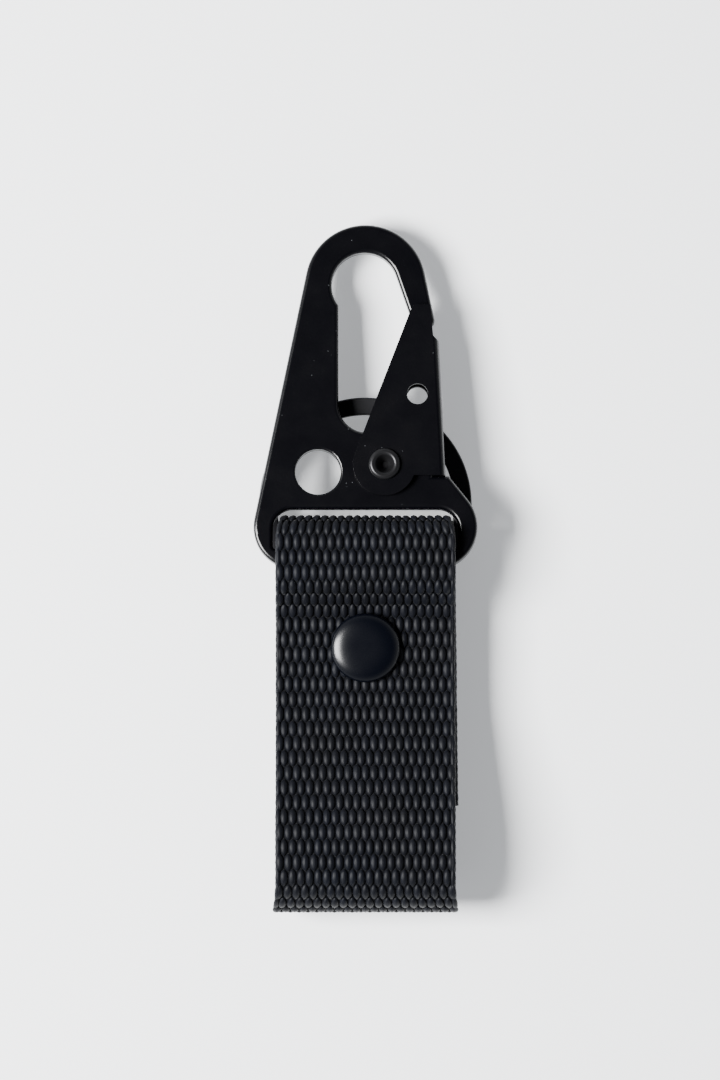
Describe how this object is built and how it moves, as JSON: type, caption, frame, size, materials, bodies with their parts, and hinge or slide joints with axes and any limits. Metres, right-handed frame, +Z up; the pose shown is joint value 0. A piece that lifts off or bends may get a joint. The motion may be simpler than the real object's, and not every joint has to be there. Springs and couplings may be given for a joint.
{
  "type": "key keeper",
  "caption": "Sprung clip on a folded webbing strap with a press snap and a split ring, for hanging keys from a belt or a bag.",
  "frame": {"origin": "centre of the bounding box, at the height of the table that the back strap lies on", "axes": "+X across the strap, +Y along it towards the hook, +Z up from the table"},
  "size_m": [0.0314, 0.0969, 0.013],
  "materials": {
    "clip_steel": "satin black coating",
    "gate_steel": "satin black coating",
    "rivet_steel": "satin black, worn at the rolled rim",
    "spring_steel": "bright wire",
    "webbing": "coarse woven nylon",
    "cap_metal": "satin navy black",
    "snap_metal": "satin black",
    "ring_steel": "satin black coating"
  },
  "bodies": {
    "strap_base": {"back_strap": "webbing", "strap_fold": "webbing", "snap_stud": "snap_metal", "snap_post": "snap_metal"},
    "strap_flap": {"front_strap": "webbing", "snap_cap": "cap_metal", "snap_cap_barrel": "snap_metal", "snap_socket": "snap_metal", "snap_socket_spring": "spring_steel"},
    "clip": {"clip_frame": "clip_steel", "gate_rivet": "rivet_steel", "gate_spring": "spring_steel"},
    "gate_lever": {"gate": "gate_steel"},
    "key_ring": {"split_ring": "ring_steel"}
  },
  "joints": [
    {"name": "flap_opens", "type": "hinge", "parent": "strap_base", "child": "strap_flap", "pos_m": [0, -0.0477, 0.0065], "axis": [1, 0, 0], "range_deg": [0, 90], "deforming": ["strap_fold", "snap_socket_spring"]},
    {"name": "clip_turns", "type": "hinge", "parent": "strap_flap", "child": "clip", "pos_m": [0, 0.0012, 0.0087], "axis": [1, 0, 0], "range_deg": [0, 150]},
    {"name": "gate_opens", "type": "hinge", "parent": "clip", "child": "gate_lever", "pos_m": [0.00266, 0.01438, 0.0072], "axis": [0, 0.1132, 0.9936], "range_deg": [0, 26], "stiffness_Nm_per_rad": 0.06, "springref_deg": -28.65, "deforming": ["gate_spring"]},
    {"name": "ring_spins", "type": "hinge", "parent": "strap_base", "child": "key_ring", "pos_m": [0, 0.0091, 0.0026], "axis": [0, 0, 1], "continuous": true}
  ]
}
